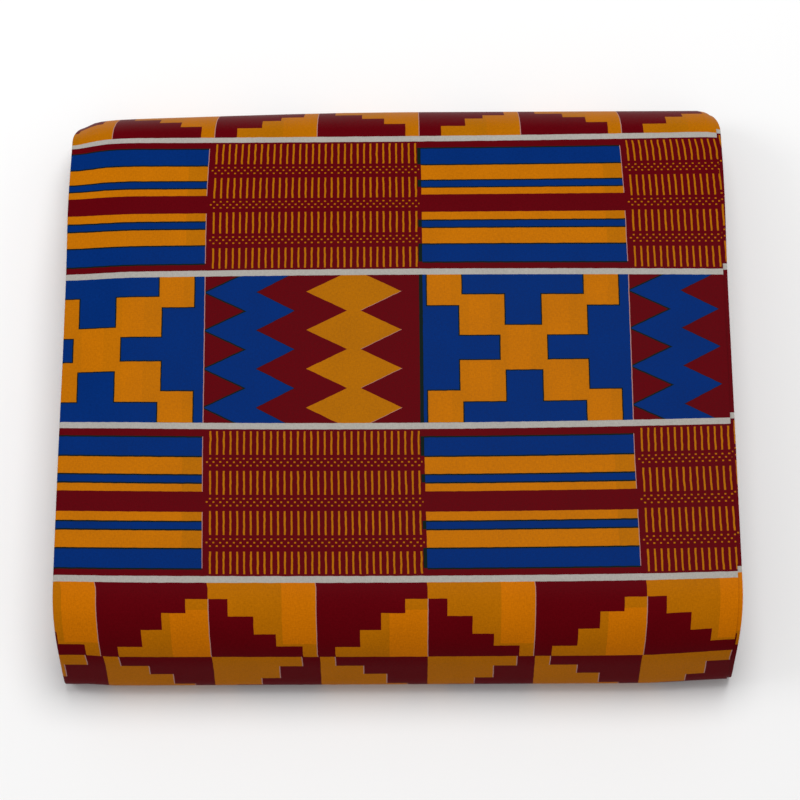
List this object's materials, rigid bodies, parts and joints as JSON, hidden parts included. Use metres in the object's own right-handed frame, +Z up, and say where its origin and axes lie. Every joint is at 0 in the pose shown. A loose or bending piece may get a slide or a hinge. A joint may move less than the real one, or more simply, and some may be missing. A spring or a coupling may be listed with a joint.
{
  "type": "folded wax print fabric",
  "caption": "Length of printed cotton cloth, folded in four along its length and wound flat into a rectangular pack that lies on a surface.",
  "frame": {"origin": "centre of the pack's footprint, on the surface it lies on", "axes": "+X across the pack from its folded edge to its selvedges, +Y from its front to its back, +Z up"},
  "size_m": [0.2931, 0.2692, 0.046],
  "materials": {
    "printed_cotton": "wax printed plain weave cotton, dark red with orange, blue and white, soft sheen"
  },
  "bodies": {
    "root": {"wax_print_cloth": "printed_cotton"}
  },
  "joints": []
}
